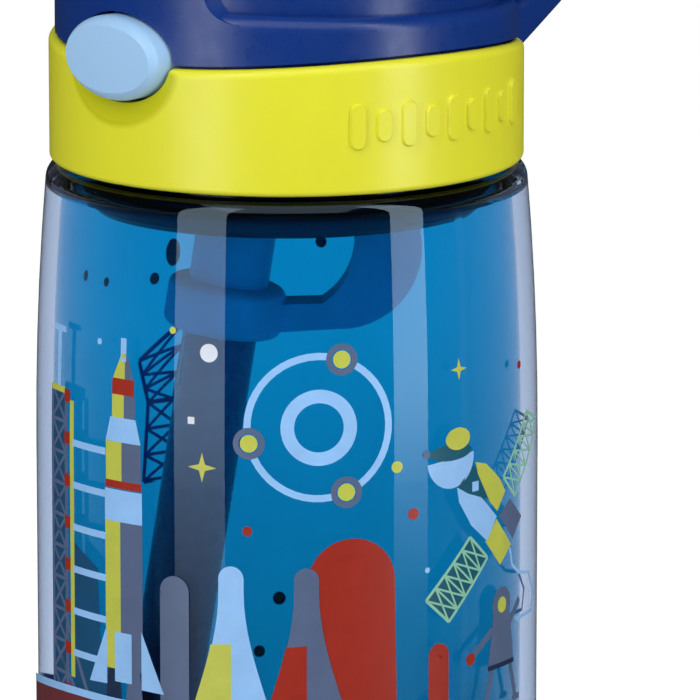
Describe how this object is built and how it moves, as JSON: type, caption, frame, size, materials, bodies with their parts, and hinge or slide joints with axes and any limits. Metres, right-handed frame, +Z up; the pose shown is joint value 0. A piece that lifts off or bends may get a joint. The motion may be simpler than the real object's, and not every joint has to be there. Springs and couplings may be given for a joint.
{
  "type": "kids water bottle",
  "caption": "Child's clear drinking bottle with a screw-on lid: push button, flip cover, folding spout, leaning straw and a carry loop.",
  "frame": {"origin": "centre of the base ring, on the bottle's axis, where the bottle stands", "axes": "+Z up along the bottle's axis; -Y is the front with the push button; +Y is the back with the carry loop"},
  "size_m": [0.0722, 0.0864, 0.1864],
  "materials": {
    "clear_shell": "clear tinted, polished",
    "collar_green": "satin moulded",
    "navy_plastic": "satin moulded",
    "navy_inner": "satin moulded",
    "button_blue": "satin moulded",
    "straw_navy": "smooth extruded",
    "sleeve_silicone": "matte silicone",
    "clear_silicone": "translucent silicone",
    "latch_acetal": "natural moulded",
    "steel_wire": "drawn wire"
  },
  "bodies": {
    "bottle": {"bottle_body": "clear_shell"},
    "seal_carrier": {"seal_ring": "clear_silicone"},
    "lid": {"threaded_collar": "collar_green", "lid_housing": "navy_plastic", "carry_handle": "navy_plastic", "seal_deck": "navy_inner", "straw_sleeve": "sleeve_silicone", "straw": "straw_navy", "vent_valve": "clear_silicone", "button_spring": "steel_wire", "cover_pin": "steel_wire", "cover_spring": "steel_wire", "spout_pin": "steel_wire", "spout_spring": "steel_wire", "flex_tube": "clear_silicone"},
    "button": {"push_button": "button_blue", "button_latch": "latch_acetal"},
    "cover": {"flip_cover": "navy_plastic"},
    "spout": {"spout": "clear_silicone", "spout_core": "latch_acetal"}
  },
  "joints": [
    {"name": "lid_lift", "type": "slide", "parent": "bottle", "child": "seal_carrier", "axis": [0, 0, 1], "range_m": [0, 0.005]},
    {"name": "lid_turn", "type": "hinge", "parent": "seal_carrier", "child": "lid", "pos_m": [0, 0, 0.15], "axis": [0, 0, 1], "range_deg": [0, 450]},
    {"name": "button_press", "type": "slide", "parent": "lid", "child": "button", "axis": [0, 1, 0], "range_m": [0, 0.0025], "stiffness_N_per_m": 300, "springref_m": -0.002, "deforming": ["button_spring"]},
    {"name": "spout_raise", "type": "hinge", "parent": "lid", "child": "spout", "pos_m": [0, 0, 0.1696], "axis": [-1, 0, 0], "range_deg": [0, 72], "deforming": ["flex_tube", "spout_spring"]},
    {"name": "cover_flip", "type": "hinge", "parent": "lid", "child": "cover", "pos_m": [0, 0.005, 0.1816], "axis": [-1, 0, 0], "range_deg": [0, 90], "deforming": ["cover_spring"]}
  ],
  "couplings": [
    {"joint": "lid_lift", "follows": "lid_turn", "m_per_rad": 0.00063662},
    {"joint": "cover_flip", "follows": "spout_raise", "ratio": 1.25}
  ]
}
